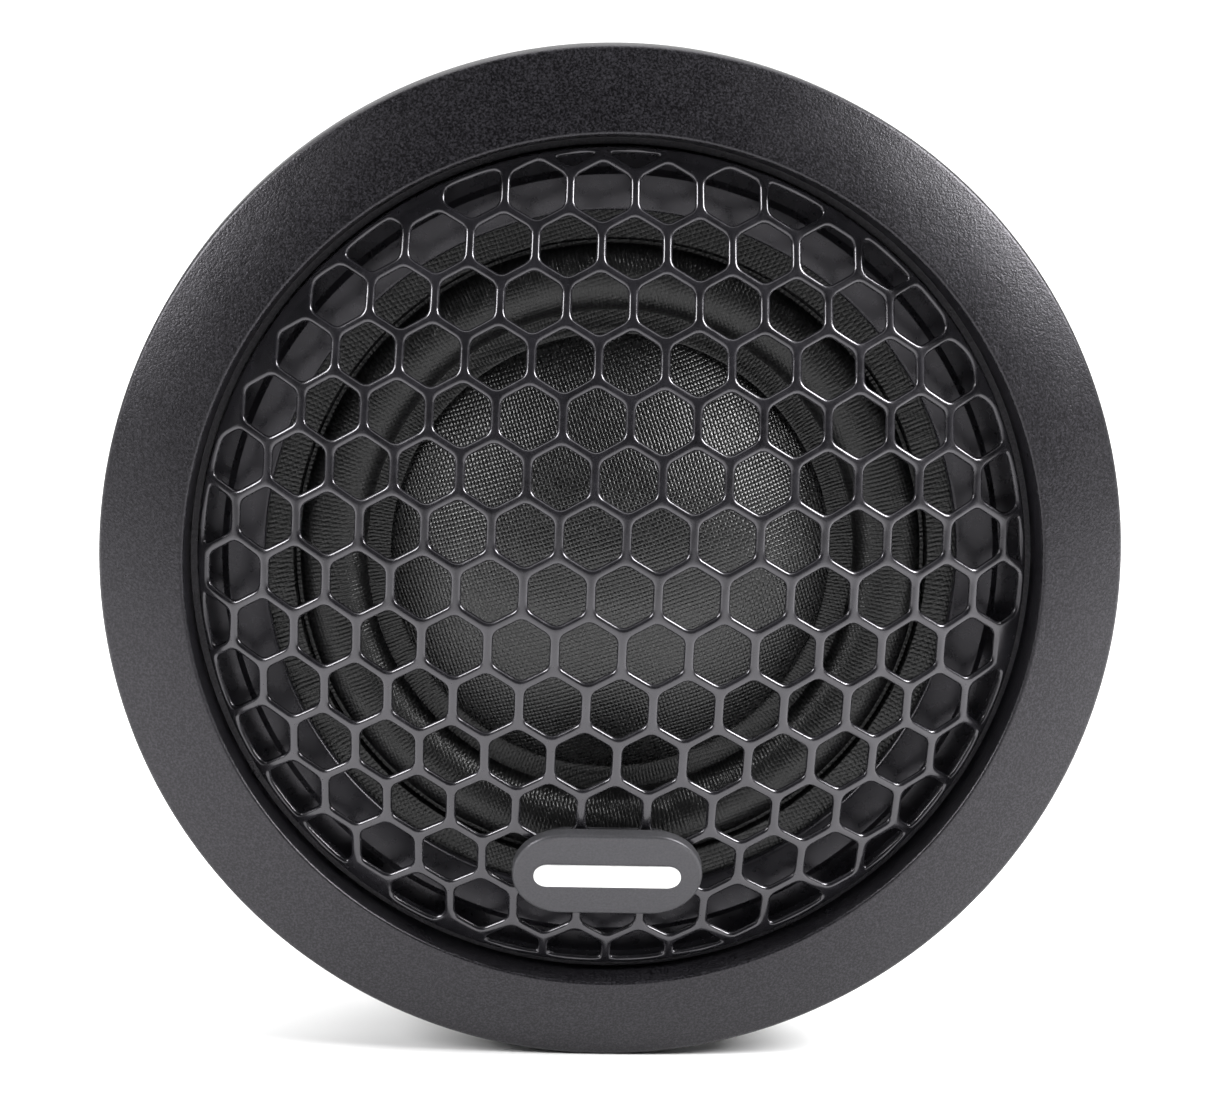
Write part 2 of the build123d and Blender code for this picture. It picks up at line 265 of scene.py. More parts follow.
def lathe(outline, segments=256, swell=None):
    """Points and faces of a closed outline turned about the axis. swell(angle, radius, height)
    gives each point's own radius."""
    outline = [(float(radius), float(height)) for radius, height in outline]
    following = outline[1:] + outline[:1]
    if sum(a[0] * b[1] - b[0] * a[1] for a, b in zip(outline, following)) < 0:
        outline.reverse()
    angles = np.arange(segments) * 2 * math.pi / segments
    points = []
    rows = []
    for radius, height in outline:
        if radius < 1e-6:
            rows.append([len(points)] * segments)
            points.append((0, 0, height))
            continue
        rows.append(list(range(len(points), len(points) + segments)))
        for angle in angles:
            own = swell(angle, radius, height) if swell else radius
            points.append((own * math.cos(angle), own * math.sin(angle), height))
    faces = []
    for lower, upper in zip(rows, rows[1:] + rows[:1]):
        for here in range(segments):
            there = (here + 1) % segments
            loop = [lower[here], lower[there], upper[there], upper[here]]
            loop = [v for spot, v in enumerate(loop) if v != loop[spot - 1]]
            if len(loop) > 2:
                faces.append(loop)
    return points, faces


def cut(piece, points, faces):
    """Takes a closed shape out of a piece."""
    mesh = bpy.data.meshes.new("cutter")
    mesh.from_pydata([tuple(p) for p in place(points)], [], faces)
    cutter = bpy.data.objects.new("cutter", mesh)
    bpy.context.scene.collection.objects.link(cutter)
    modifier = piece.modifiers.new("cut", "BOOLEAN")
    modifier.object = cutter
    modifier.operation = "DIFFERENCE"
    modifier.solver = "EXACT"
    whole = piece.evaluated_get(bpy.context.evaluated_depsgraph_get())
    result = bpy.data.meshes.new_from_object(whole)
    result.name = piece.name
    piece.modifiers.clear()
    piece.data = result
    bpy.data.objects.remove(cutter)
    shade(piece)


# ---------------------------------------------------------------- materials


class Shader:
    """A node material that is built up call by call."""

    def __init__(
        self, name, colour, roughness, metallic=0.0, specular=0.5, coat=0.0, sheen=0.0, tint=(1, 1, 1)
    ):
        self.material = bpy.data.materials.new(name)
        self.material.use_nodes = True
        self.tree = self.material.node_tree
        self.nodes = self.tree.nodes
        self.shader = self.nodes["Principled BSDF"]
        self.shader.inputs["Base Color"].default_value = (*colour, 1)
        self.shader.inputs["Roughness"].default_value = roughness
        self.shader.inputs["Metallic"].default_value = metallic
        self.shader.inputs["Specular IOR Level"].default_value = specular
        self.shader.inputs["Specular Tint"].default_value = (*tint, 1)
        self.shader.inputs["Coat Weight"].default_value = coat
        self.shader.inputs["Coat Roughness"].default_value = 0.12
        self.shader.inputs["Sheen Weight"].default_value = sheen
        self.shader.inputs["Sheen Roughness"].default_value = 0.35
        self.place = self.nodes.new("ShaderNodeTexCoord").outputs["Object"]

    def link(self, source, target):
        self.tree.links.new(source, target)

    def math(self, operation, *values):
        node = self.nodes.new("ShaderNodeMath")
        node.operation = operation
        for socket, value in zip(node.inputs, values):
            if isinstance(value, (int, float)):
                socket.default_value = value
            else:
                self.link(value, socket)
        return node.outputs[0]

    def noise(self, size, detail=3.0, rough=0.55, stretch=(1, 1, 1), distortion=0.0):
        """Noise whose features are about this many millimetres across."""
        mapping = self.nodes.new("ShaderNodeMapping")
        mapping.inputs["Scale"].default_value = stretch
        self.link(self.place, mapping.inputs["Vector"])
        node = self.nodes.new("ShaderNodeTexNoise")
        node.inputs["Scale"].default_value = 1 / (size * MM)
        node.inputs["Detail"].default_value = detail
        node.inputs["Roughness"].default_value = rough
        node.inputs["Distortion"].default_value = distortion
        self.link(mapping.outputs[0], node.inputs["Vector"])
        return node.outputs["Fac"]

    def cells(self, size, feature="F1"):
        """Rounded cells about this many millimetres across."""
        node = self.nodes.new("ShaderNodeTexVoronoi")
        node.feature = feature
        node.inputs["Scale"].default_value = 1 / (size * MM)
        self.link(self.place, node.inputs["Vector"])
        return node.outputs["Distance"]

    def ramp(self, value, low, high, low_colour, high_colour):
        """Colours between two values."""
        node = self.nodes.new("ShaderNodeValToRGB")
        node.color_ramp.elements[0].position = low
        node.color_ramp.elements[1].position = high
        node.color_ramp.elements[0].color = (*low_colour, 1)
        node.color_ramp.elements[1].color = (*high_colour, 1)
        self.link(value, node.inputs["Fac"])
        return node.outputs["Color"]

    def span(self, value, low, high, to_low, to_high):
        """A value carried from one range to another."""
        node = self.nodes.new("ShaderNodeMapRange")
        for socket, number in zip(node.inputs[1:5], (low, high, to_low, to_high)):
            socket.default_value = number
        self.link(value, node.inputs[0])
        return node.outputs[0]

    def colour(self, value, low, high, low_colour, high_colour):
        self.link(self.ramp(value, low, high, low_colour, high_colour), self.shader.inputs["Base Color"])

    def roughness(self, value, low, high, to_low, to_high):
        self.link(self.span(value, low, high, to_low, to_high), self.shader.inputs["Roughness"])

    def bump(self, value, depth, strength=1.0):
        """Relief of this many millimetres, on top of any relief already there."""
        node = self.nodes.new("ShaderNodeBump")
        node.inputs["Strength"].default_value = strength
        node.inputs["Distance"].default_value = depth * MM
        self.link(value, node.inputs["Height"])
        socket = self.shader.inputs["Normal"]
        if socket.is_linked:
            self.link(socket.links[0].from_socket, node.inputs["Normal"])
        self.link(node.outputs[0], socket)

    def plan(self, twist):
        """Coordinates across the face, in millimetres, turned by an angle."""
        split = self.nodes.new("ShaderNodeSeparateXYZ")
        self.link(self.place, split.inputs[0])
        x, up = split.outputs["X"], split.outputs["Z"]
        c, s = math.cos(twist) / MM, math.sin(twist) / MM
        along = self.math("ADD", self.math("MULTIPLY", x, c), self.math("MULTIPLY", up, s))
        across = self.math("SUBTRACT", self.math("MULTIPLY", up, c), self.math("MULTIPLY", x, s))
        return along, across

    def weave(self, pitch_along, pitch_across, twist):
        """Height of a plain weave: a knot wherever two threads cross, every other one raised."""
        along, across = self.plan(twist)
        wobble = self.span(self.noise(2.5), 0, 1, -0.12, 0.12)
        u = self.math("MULTIPLY", self.math("ADD", along, wobble), math.pi / pitch_along)
        v = self.math("MULTIPLY", self.math("ADD", across, wobble), math.pi / pitch_across)
        sine_u, sine_v = self.math("SINE", u), self.math("SINE", v)
        crossing = self.math("MULTIPLY", sine_u, sine_v)
        knot = self.math("SQRT", self.math("ABSOLUTE", crossing))
        return self.math("ADD", self.math("MULTIPLY", knot, 0.85), self.math("MULTIPLY", crossing, 0.15))


def satin_ring():
    shader = Shader("ring_satin", (0.01, 0.01, 0.01), 0.38, specular=0.36, tint=violet)
    grain = shader.noise(0.13, detail=2.0, rough=0.7)
    patches = shader.noise(3.0)
    shader.colour(grain, 0.42, 0.75, (0.0012, 0.0011, 0.0015), (0.026, 0.025, 0.029))
    shader.roughness(patches, 0.3, 0.7, 0.27, 0.33)
    shader.bump(grain, 0.019)
    shader.bump(shader.noise(0.4), 0.009)
    return shader.material


def mesh_paint():
    shader = Shader("mesh_paint", (0.01, 0.01, 0.012), 0.28, specular=0.6, coat=0.3, tint=violet)
    patches = shader.noise(1.4)
    shader.colour(patches, 0.3, 0.7, (0.006, 0.0058, 0.007), (0.013, 0.0125, 0.015))
    shader.roughness(shader.noise(0.35), 0.3, 0.7, 0.2, 0.28)
    shader.bump(shader.noise(0.6), 0.002)
    return shader.material


def badge_black():
    shader = Shader("badge_satin", (0.03, 0.03, 0.033), 0.42, tint=violet)
    grain = shader.noise(0.12)
    shader.colour(grain, 0.3, 0.7, (0.024, 0.024, 0.026), (0.04, 0.04, 0.043))
    shader.bump(grain, 0.006)
    return shader.material


def badge_white():
    shader = Shader("badge_bright", (0.9, 0.9, 0.9), 0.35)
    brushed = shader.noise(0.08, stretch=(0.1, 1, 1))
    shader.colour(brushed, 0.3, 0.7, (0.82, 0.82, 0.82), (0.95, 0.95, 0.95))
    shader.bump(brushed, 0.004)
    return shader.material


def face_gloss():
    shader = Shader("face_gloss", (0.01, 0.01, 0.012), 0.28, specular=0.42, tint=violet)
    patches = shader.noise(4.0)
    shader.colour(patches, 0.3, 0.7, (0.004, 0.0039, 0.0048), (0.009, 0.0086, 0.0106))
    shader.roughness(shader.noise(0.6), 0.3, 0.7, 0.24, 0.34)
    shader.bump(shader.noise(0.9), 0.006)
    return shader.material


def coated_silk():
    shader = Shader("dome_silk", (0.01, 0.01, 0.01), 0.3, specular=0.68)
    weave = shader.weave(*silk_pitch, silk_twist)
    shader.colour(weave, 0.2, 0.9, (0.0005, 0.0005, 0.0006), (0.005, 0.005, 0.0053))
    shader.roughness(shader.noise(0.3), 0.3, 0.7, 0.22, 0.32)
    shader.bump(weave, 0.032)
    shader.bump(shader.noise(0.07), 0.003)
    return shader.material


def surround_cloth():
    shader = Shader("surround_cloth", (0.01, 0.01, 0.01), 0.34, specular=0.45)
    x, up = shader.plan(0.0)
    turn = shader.math("ARCTAN2", up, x)
    wobble = shader.span(shader.noise(0.9), 0, 1, -1.3, 1.3)
    phase = shader.math("ADD", shader.math("MULTIPLY", turn, roll_ribs / 2), wobble)
    ribs = shader.math("ABSOLUTE", shader.math("SINE", phase))
    ribs = shader.math("MULTIPLY", ribs, shader.span(shader.noise(0.5), 0.3, 0.7, 0.3, 1.0))
    shader.colour(ribs, 0.1, 0.9, (0.0006, 0.0006, 0.0007), (0.0045, 0.0045, 0.0048))
    shader.bump(ribs, 0.022)
    shader.bump(shader.weave(*silk_pitch, silk_twist), 0.018)
    return shader.material


def nylon(name="moulded_nylon", tone=1.0):
    shader = Shader(name, (0.03 * tone, 0.03 * tone, 0.03 * tone), 0.5)
    grain = shader.noise(0.3, detail=4)
    fibres = shader.noise(0.25, stretch=(1, 0.2, 1), distortion=0.6)
    shader.colour(grain, 0.3, 0.7, (0.02 * tone,) * 3, (0.042 * tone,) * 3)
    shader.roughness(fibres, 0.3, 0.7, 0.38, 0.6)
    shader.bump(grain, 0.018)
    shader.bump(fibres, 0.01)
    return shader.material


def foam():
    shader = Shader("gasket_foam", (0.03, 0.03, 0.03), 0.9)
    pores = shader.cells(0.35)
    shader.colour(pores, 0.1, 0.6, (0.008, 0.008, 0.008), (0.05, 0.05, 0.05))
    shader.bump(pores, 0.08)
    return shader.material


def rubber():
    shader = Shader("seal_rubber", (0.03, 0.03, 0.03), 0.7)
    bloom = shader.noise(0.8)
    shader.colour(bloom, 0.3, 0.7, (0.02, 0.02, 0.02), (0.045, 0.045, 0.045))
    shader.bump(shader.noise(0.15), 0.01)
    return shader.material


def metal(name, dark, bright, rough_low, rough_high, stretch=(1, 1, 1), size=0.4):
    shader = Shader(name, bright, rough_low, metallic=1.0)
    marks = shader.noise(size, stretch=stretch, detail=4)
    shader.colour(marks, 0.3, 0.7, dark, bright)
    shader.roughness(shader.noise(size * 2), 0.3, 0.7, rough_low, rough_high)
    shader.bump(marks, 0.006)
    return shader.material


def black_oxide():
    shader = Shader("screw_oxide", (0.03, 0.03, 0.03), 0.35, metallic=0.8)
    wear = shader.noise(0.25, detail=5)
    shader.colour(wear, 0.45, 0.75, (0.02, 0.02, 0.022), (0.12, 0.12, 0.12))
    shader.roughness(wear, 0.3, 0.7, 0.28, 0.5)
    return shader.material


def fibre_pad(name, dark, bright, size):
    shader = Shader(name, bright, 0.95, sheen=0.3)
    fibres = shader.noise(size, detail=6, rough=0.7, distortion=1.5)
    shader.colour(fibres, 0.3, 0.7, dark, bright)
    shader.bump(fibres, 0.15)
    return shader.material


def phenolic():
    shader = Shader("board_phenolic", (0.2, 0.1, 0.045), 0.45)
    layers = shader.noise(0.35, stretch=(1, 1, 0.7), detail=6)
    shader.colour(layers, 0.3, 0.7, (0.12, 0.056, 0.026), (0.19, 0.1, 0.047))
    shader.roughness(layers, 0.3, 0.7, 0.35, 0.55)
    shader.bump(layers, 0.012)
    return shader.material


# ---------------------------------------------------------------- grille


def dome_height(radius):
    """Height of the grille's outer surface at a radius."""
    drop = grille_crown - grille_edge_top
    return grille_crown - drop * (radius / grille_radius) ** grille_power


def dome_slope(radius):
    """Downward slope of the grille's outer surface at a radius, as an angle."""
    steepness = (grille_crown - grille_edge_top) * grille_power / grille_radius
    return np.arctan(steepness * (radius / grille_radius) ** (grille_power - 1))


def drawn(flat):
    """Where points of the flat pierced sheet come to lie, in plan, once the dome is drawn."""
    scale = 1 - draw_shrink * (flat**2).sum(1)
    c, s = math.cos(pattern_twist), math.sin(pattern_twist)
    x = flat[:, 0] * c - flat[:, 1] * s
    y = flat[:, 0] * s + flat[:, 1] * c
    return np.stack([x * scale, y * scale], axis=1)


def flat_radius(plan_radius):
    """The radius in the flat sheet that ends up at this radius in plan."""
    flat = plan_radius
    for _ in range(20):
        flat = plan_radius / (1 - draw_shrink * flat**2)
    return flat


def on_dome(flat, depth):
    """Flat points, each this far under the grille's outer surface, in place on the dome."""
    plan = drawn(flat)
    radius = np.maximum(np.linalg.norm(plan, axis=1), 1e-9)
    slope = dome_slope(radius)
    out = np.sin(slope) / radius
    lean = plan * (1 - depth * out)[:, None]
    height = dome_height(radius) - depth * np.cos(slope)
    return np.column_stack([lean, height])


def cell_loop(centre, limit):
    """The outline of one cell, clipped to the sheet's edge: points, and whether each span that
    starts at a point lies on the edge."""
    size = hole_pitch / math.sqrt(3)
    angles = [math.pi / 6 + step * math.pi / 3 for step in range(6)]
    corners = [centre + size * np.array([math.cos(a), math.sin(a)]) for a in angles]
    spans = []
    for start, end in zip(corners, corners[1:] + corners[:1]):
        inside = [np.linalg.norm(p) <= limit for p in (start, end)]
        if not any(inside):
            continue
        if not all(inside):
            way = end - start
            a, b, c = way @ way, 2 * start @ way, start @ start - limit**2
            root = math.sqrt(b * b - 4 * a * c)
            share = (-b + root) / (2 * a) if inside[0] else (-b - root) / (2 * a)
            crossing = start + share * way
            start, end = (start, crossing) if inside[0] else (crossing, end)
        spans.append((start, end))
    points, on_edge = [], []
    for (start, end), (following, _) in zip(spans, spans[1:] + spans[:1]):
        for step in range(side_steps):
            points.append(start + (end - start) * step / side_steps)
            on_edge.append(False)
        if np.linalg.norm(following - end) > 1e-6:
            first = math.atan2(end[1], end[0])
            sweep = (math.atan2(following[1], following[0]) - first + math.pi) % (2 * math.pi) - math.pi
            for step in range(side_steps):
                angle = first + sweep * step / side_steps
                points.append(limit * np.array([math.cos(angle), math.sin(angle)]))
                on_edge.append(True)
    return np.array(points), on_edge


def hole_distance(points, centre, limit):
    """How far points are outside a cell's hole: a hexagon inside the border, with rounded corners."""
    walls = [np.linalg.norm(points, axis=1) - limit]
    for step in range(6):
        angle = step * math.pi / 3
        walls.append((points - centre) @ np.array([math.cos(angle), math.sin(angle)]) - hole_apothem)
    walls = np.array(walls) + hole_corner
    outside = np.linalg.norm(np.maximum(walls, 0), axis=0)
    return np.minimum(walls.max(0), 0) + outside - hole_corner


def hole_edge(heart, outline, centre, limit):
    """Where the rays from the hole's heart to the cell's outline meet the hole's edge."""
    near, far = np.zeros(len(outline)), np.ones(len(outline))
    for _ in range(26):
        middle = (near + far) / 2
        inside = hole_distance(heart + (outline - heart) * middle[:, None], centre, limit) < 0
        near, far = np.where(inside, middle, near), np.where(inside, far, middle)
    return heart + (outline - heart) * near[:, None]


def web_rows(edge, outline):
    """The web's cross-section, from its crest over the rounded edge and down to its underside,
    as rows of (flat points, depth)."""
    width = np.linalg.norm(outline - edge, axis=1)
    rounding = np.minimum(web_rounding, 0.9 * width)
    inward = (outline - edge) / width[:, None]
    rows = [(outline, np.zeros(len(edge)))]
    for degrees in (90, 65, 42, 20, 0):
        angle = math.radians(degrees)
        aside = rounding * (1 - math.cos(angle))
        rows.append((edge + inward * aside[:, None], rounding * (1 - math.sin(angle))))
    midway = 0.3 * web_under_rounding
    rows.append((edge, np.full(len(edge), grille_sheet - web_under_rounding)))
    rows.append((edge + inward * midway, np.full(len(edge), grille_sheet - midway)))
    rows.append((edge + inward * web_under_rounding, np.full(len(edge), grille_sheet)))
    rows.append((outline, np.full(len(edge), grille_sheet)))
    return rows


def turned_edge(outline):
    """The sheet's outer edge, rolled over and turned down to its seat and back up inside, as rows of
    points in place."""
    count = len(outline)
    top = on_dome(outline, np.zeros(count))
    under = on_dome(outline, np.full(count, grille_sheet))
    radius = np.linalg.norm(top[:, :2], axis=1)
    inner = np.linalg.norm(under[:, :2], axis=1)
    out = top[:, :2] / radius[:, None]
    rows = []
    for aside, drop in ((0.05, 0.03), (0.08, 0.09), (edge_roll, 0.2)):
        rows.append(np.column_stack([out * (radius + aside)[:, None], top[:, 2] - drop]))
    for ring, height in ((radius + edge_roll, grille_seat + 0.05), (inner + 0.03, grille_seat + 0.02)):
        rows.append(np.column_stack([out * ring[:, None], np.full(count, height)]))
    return rows


def grille_piece(material):
    """The drawn mesh: a web round every cell's hole, solid where a hole would be too small, turned
    down at its edge and open where the badge sits."""
    outer, inner = flat_radius(border_outer), flat_radius(border_inner)
    points, faces = [], []

    def add_placed(rows):
        indices = []
        for placed in rows:
            indices.append(range(len(points), len(points) + len(placed)))
            points.extend(placed)
        return indices

    def add_rows(rows):
        return add_placed([on_dome(flat, depth) for flat, depth in rows])

    rows_of_cells = int(outer / (hole_pitch * math.sqrt(3) / 2)) + 2
    for row in range(-rows_of_cells, rows_of_cells + 1):
        for column in range(-rows_of_cells, rows_of_cells + 1):
            x = (column + 0.5 * (row % 2)) * hole_pitch - pattern_shift[0]
            y = row * hole_pitch * math.sqrt(3) / 2 - pattern_shift[1]
            centre = np.array([x, y])
            if np.linalg.norm(centre) > outer + 0.55 * hole_pitch:
                continue
            outline, on_edge = cell_loop(centre, outer)
            if len(outline) == 0:
                continue
            heart = centre if not any(on_edge) else outline.mean(0)
            if hole_distance(heart[None], centre, inner)[0] < -smallest_hole:
                rows = web_rows(hole_edge(heart, outline, centre, inner), outline)
                rings = add_rows(rows)
                for upper, lower in zip(rings, rings[1:]):
                    for here in range(len(outline)):
                        there = (here + 1) % len(outline)
                        faces.append((upper[here], lower[here], lower[there], upper[there]))
                top, bottom = rings[0], rings[-1]
            else:
                middle = np.array([outline.mean(0)])
                count = len(outline)
                top, bottom, crown, floor = add_rows(
                    [
                        (outline, np.zeros(count)),
                        (outline, np.full(count, grille_sheet)),
                        (middle, np.zeros(1)),
                        (middle, np.full(1, grille_sheet)),
                    ]
                )
                for here in range(count):
                    there = (here + 1) % count
                    faces.append((top[there], top[here], crown[0]))
                    faces.append((bottom[here], bottom[there], floor[0]))
            if any(on_edge):
                edge_rows = [top, *add_placed(turned_edge(outline)), bottom]
                for upper, lower in zip(edge_rows, edge_rows[1:]):
                    for here in range(len(outline)):
                        there = (here + 1) % len(outline)
                        if on_edge[here]:
                            faces.append((upper[there], lower[there], lower[here], upper[here]))

    points = np.array(points)
    _, first, mapping = np.unique(np.round(points, 4), axis=0, return_index=True, return_inverse=True)
    mapping = mapping.ravel()
    merged = []
    for face in faces:
        loop = [int(mapping[v]) for v in face]
        loop = [v for spot, v in enumerate(loop) if v != loop[spot - 1]]
        if len(set(loop)) == len(loop) and len(loop) > 2:
            merged.append(loop)
    used = np.unique(np.concatenate([np.array(loop) for loop in merged]))
    renumber = {int(old): new for new, old in enumerate(used)}
    merged = [[renumber[v] for v in loop] for loop in merged]
    kept = points[first][used]
    piece = add_piece("grille", kept, merged, material, "housing", "grille_paint", ["grille_mesh"])
    cut(piece, *badge_opening())
    return piece


def badge_opening():
    """A long rounded prism, square to the grille where the badge sits."""
    slope = float(dome_slope(badge_offset))
    centre = np.array([0, -badge_offset, dome_height(badge_offset)])
    normal = np.array([0, -math.sin(slope), math.cos(slope)])
    across = np.array([1, 0, 0])
    along = np.cross(normal, across)
    radius = opening_width / 2
    half = opening_length / 2 - radius
    steps = 12
    outline = []
    for side in (1, -1):
        for step in range(steps + 1):
            angle = (step / steps - 0.5) * math.pi
            outline.append((side * (half + radius * math.cos(angle)), side * radius * math.sin(angle)))
    ends = []
    for depth in (-opening_reach, opening_reach):
        ends.append([centre + normal * depth + across * u + along * v for u, v in outline])
    count = len(outline)
    faces = [list(range(count))[::-1], list(range(count, 2 * count))]
    for here in range(count):
        there = (here + 1) % count
        faces.append([here, there, count + there, count + here])
    return ends[0] + ends[1], faces


# ---------------------------------------------------------------- turned pieces


def trim_ring_piece(material):
    """The trim ring: sloping face, upright wall inside the bezel, and the counterbore behind."""
    outline = rounded(
        [
            (throat_radius, grille_seat + 0.02, 0),
            (throat_radius, wall_foot_height, 0),
            (wall_foot_radius, wall_foot_height, 0),
            (bezel_radius, bezel_height, bezel_rounding),
            (flange_radius, rim_height, rim_rounding),
            (flange_radius, 0, 0.2),
            (counterbore_radius, 0, 0.1),
            (counterbore_radius, face_base, 0),
            (face_radius + 0.05, face_base, 0),
            (face_radius + 0.05, grille_seat + 0.02, 0),
        ]
    )
    return add_piece("trim", *lathe(outline, 384), material, "housing", "trim_satin", ["trim_ring"])


def face_plate_piece(material):
    """The face plate: a shallow funnel with a step down at its outside."""
    step_height = face_height - face_step_drop
    outline = rounded(
        [
            (face_inner_radius, face_base, 0),
            (face_inner_radius, face_height - face_inner_drop, 0.25),
            (face_step_radius, face_height, 0.1),
            (face_step_radius + face_step_drop, step_height, 0.05),
            (face_radius, step_height, 0.1),
            (face_radius, face_base, 0),
        ]
    )
    return add_piece("face_ring", *lathe(outline), material, "housing", "face_gloss", ["face_plate"])


def cap_arc(radius, base, crown, steps):
    """Points of a spherical cap's section, from its edge to its crown."""
    rise = crown - base
    sphere = (radius**2 + rise**2) / (2 * rise)
    opening = math.asin(radius / sphere)
    angles = [opening * (1 - step / steps) for step in range(steps + 1)]
    return [(sphere * math.sin(a), crown - sphere + sphere * math.cos(a)) for a in angles]


def dome_piece(material):
    """The dome: a thin spherical cap."""
    outer = cap_arc(dome_radius, dome_base, dome_crown, 48)
    inner = cap_arc(dome_radius - 1.3 * silk, dome_base, dome_crown - silk, 48)
    outline = outer + inner[::-1]
    return add_piece("dome", *lathe(outline, 192), material, "diaphragm", "dome_silk", ["silk_dome"])


def roll_arc(inner, outer, inner_height, outer_height, crown, steps=24):
    """A half roll's section: an arch from the inner foot over the crown to the outer foot."""
    points = []
    for step in range(steps + 1):
        share = step / steps
        radius = inner + (outer - inner) * (1 - math.cos(share * math.pi)) / 2
        foot = inner_height + (outer_height - inner_height) * share
        middle = (inner_height + outer_height) / 2
        points.append((radius, foot + (crown - middle) * math.sin(share * math.pi)))
    return points


def surround_piece(material):
    """The surround: a collar over the dome's foot, a half roll, a groove and the glued land."""
    hinge = dome_base + roll_sheet
    collar = dome_radius - 0.32
    top = [(collar, dome_base + 0.32), (collar + 0.12, dome_base + 0.35), (dome_radius + 0.1, hinge + 0.04)]
    top += [(dome_radius + 0.4, hinge), (roll_inner_radius - 0.15, hinge)]
    top += roll_arc(roll_inner_radius, roll_outer_radius, hinge, groove_floor, roll_crown)
    top += [(land_radius - 0.1, groove_floor), (land_radius - 0.03, groove_floor + 0.1)]
    top += [(land_radius, face_base - 0.08), (land_radius + 0.08, face_base)]
    top += [(land_outer_radius, face_base)]
    under = [(land_outer_radius, face_base - 0.3), (land_radius + 0.2, face_base - 0.3)]
    under += [(land_radius + 0.1, groove_floor - roll_sheet)]
    inner, outer = roll_inner_radius + 0.2, roll_outer_radius - 0.2
    under += roll_arc(inner, outer, dome_base, groove_floor - roll_sheet, roll_crown - roll_sheet)[::-1]
    under += [(dome_radius + 0.02, dome_base)]
    piece = add_piece("half_roll", *lathe(top + under, 256), material, None, "surround_cloth", ["surround"])
    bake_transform(piece)
    return piece


def thread_swell(angle, radius, height):
    """The chassis' radius with its thread: a rounded ridge that climbs one pitch a turn."""
    if not wall_end + 0.4 < height < thread_start or radius < thread_root:
        return radius
    phase = (height / thread_pitch - angle / (2 * math.pi)) % 1
    ridge = min(1, max(0, 1.9 - 5.2 * abs(phase - 0.5)))
    fade = min(1, (thread_start - height) / 0.5, (height - wall_end - 0.4) / 0.5)
    return thread_root + (thread_crest - thread_root) * ridge * fade


def chassis_piece(material):
    """The moulded body: its flange, spigot and thread outside, the recess for the diaphragm and the
    wall round the magnet cup inside."""
    flange = reach("chassis")
    low, spigot_end = wall_end, -spigot_length
    thread_rows = []
    height = thread_start
    while height > wall_end + 0.3:
        thread_rows.append((thread_root, height))
        height -= thread_pitch / 18
    outline = [(seat_radius, face_base), (flange, face_base), (flange, 0.1), (flange - 0.1, 0)]
    outline += [(spigot_radius, 0), (spigot_radius, spigot_end + 0.3), (spigot_radius - 0.3, spigot_end)]
    outline += [(thread_root, spigot_end)]
    outline += thread_rows
    outline += [(thread_root, low + 0.25), (thread_root - 0.25, low), (wall_bore, low)]
    outline += [(wall_bore, deck_underside), (cup_wall_radius, deck_underside)]
    outline += [(cup_wall_radius, cup_wall_end), (cup_wall_bore, cup_wall_end)]
    outline += [(cup_wall_bore, seat_floor), (seat_radius, seat_floor)]
    shape = lathe(outline, 256, thread_swell)
    return add_piece("threaded_body", *shape, material, "housing", "moulded_black", ["chassis"])


def nut_swell(angle, radius, height):
    """The nut's radius: plain at its flange, and with grip lugs round its hub."""
    if radius > nut_hub_radius - 0.1 and radius < nut_radius - 0.9:
        step = 2 * math.pi / nut_lugs
        away = abs((angle + step / 2) % step - step / 2)
        lug = min(1, max(0, (lug_half_angle + lug_flank - away) / lug_flank))
        lug = lug * lug * (3 - 2 * lug)
        fade = min(1, max(0, (height - lug_end) / 0.4 + 1))
        return radius + (nut_radius - lug_setback - nut_hub_radius) * lug * fade
    return radius


def nut_piece(material):
    """The ring nut: a flange against the washer and a hub with the grip lugs."""
    top, bottom, hub, chamfer = nut_front, nut_back, nut_hub_radius, nut_chamfer
    flange_back = top - nut_flange_depth
    outline = [(nut_bore + chamfer, top), (nut_radius - 0.25, top), (nut_radius, top - 0.25)]
    outline += [(nut_radius, flange_back + 0.3), (nut_radius - 0.3, flange_back)]
    outline += [(hub + chamfer, flange_back), (hub + 0.1, flange_back - 0.1)]
    steps = 10
    for step in range(1, steps):
        outline.append((hub, flange_back - chamfer - (flange_back - bottom - 0.75) * step / steps))
    outline += [(hub, bottom + chamfer), (hub - chamfer, bottom), (nut_bore + chamfer, bottom)]
    outline += [(nut_bore, bottom + chamfer), (nut_bore, top - chamfer)]
    shape = lathe(outline, 720, nut_swell)
    return add_piece("grip_nut", *shape, material, "nut", "nut_plastic", ["ring_nut"])


def washer_piece(material):
    low, high = rear("pressure_washer"), front("pressure_washer")
    outer = reach("pressure_washer")
    outline = rounded(
        [(washer_bore, low, 0.15), (washer_bore, high, 0.15), (outer, high, 0.25), (outer, low, 0.25)]
    )
    shape = lathe(outline)
    return add_piece("clamp_washer", *shape, material, "washer", "washer_plastic", ["pressure_washer"])


def gasket_piece(material):
    low, high = rear("panel_gasket"), front("panel_gasket")
    outer = reach("panel_gasket")
    outline = rounded(
        [(gasket_bore, low, 0.2), (gasket_bore, high, 0.05), (outer, high, 0.05), (outer, low, 0.25)]
    )
    return add_piece("foam_ring", *lathe(outline), material, "housing", "foam", ["panel_gasket"])


